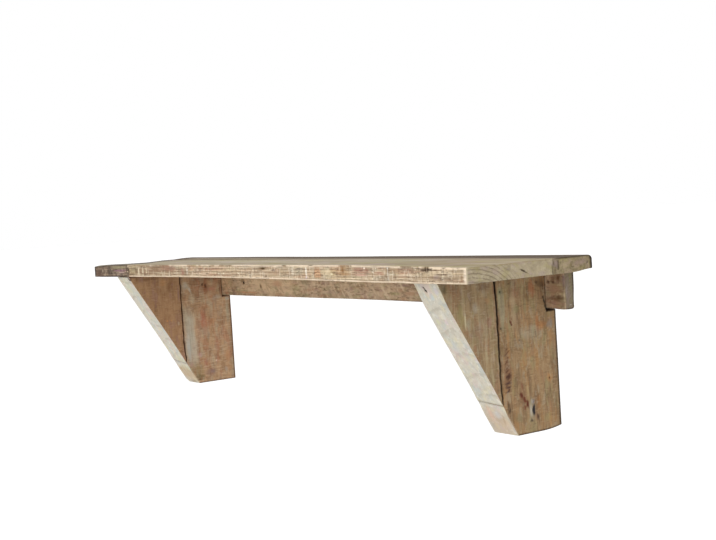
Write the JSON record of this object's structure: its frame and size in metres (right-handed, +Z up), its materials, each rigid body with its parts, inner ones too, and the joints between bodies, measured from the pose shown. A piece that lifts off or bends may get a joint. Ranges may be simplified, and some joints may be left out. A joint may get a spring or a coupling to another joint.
{
  "type": "wall shelf",
  "caption": "Wall shelf in reclaimed timber: an edge-joined top on diagonal-cut joist brackets, notched over a batten at the wall that takes the fixing screws.",
  "frame": {"origin": "centre of the batten's wall face, on the wall plane", "axes": "+X to the right along the shelf seen from the room, +Y into the wall, +Z up"},
  "size_m": [1, 0.2, 0.219],
  "materials": {
    "top_front_timber": "weathered sawn face, waxed",
    "top_back_timber": "weathered sawn face, waxed",
    "bracket_front_timber": "aged planed face, fresh-cut diagonal",
    "bracket_back_timber": "aged planed face, fresh-cut diagonal",
    "batten_timber": "rough sawn",
    "dowel_beech": "turned, unfinished",
    "screw_steel": "zinc-plated, cross recess"
  },
  "bodies": {
    "root": {"top_front_board": "top_front_timber", "top_back_board": "top_back_timber", "left_bracket_front_board": "bracket_front_timber", "right_bracket_front_board": "bracket_front_timber", "left_bracket_back_board": "bracket_back_timber", "right_bracket_back_board": "bracket_back_timber", "wall_batten": "batten_timber", "top_joint_dowels": "dowel_beech", "left_bracket_joint_dowels": "dowel_beech", "right_bracket_joint_dowels": "dowel_beech", "left_bracket_top_dowels": "dowel_beech", "right_bracket_top_dowels": "dowel_beech", "batten_top_dowels": "dowel_beech", "left_notch_screws": "screw_steel", "right_notch_screws": "screw_steel"}
  },
  "joints": []
}
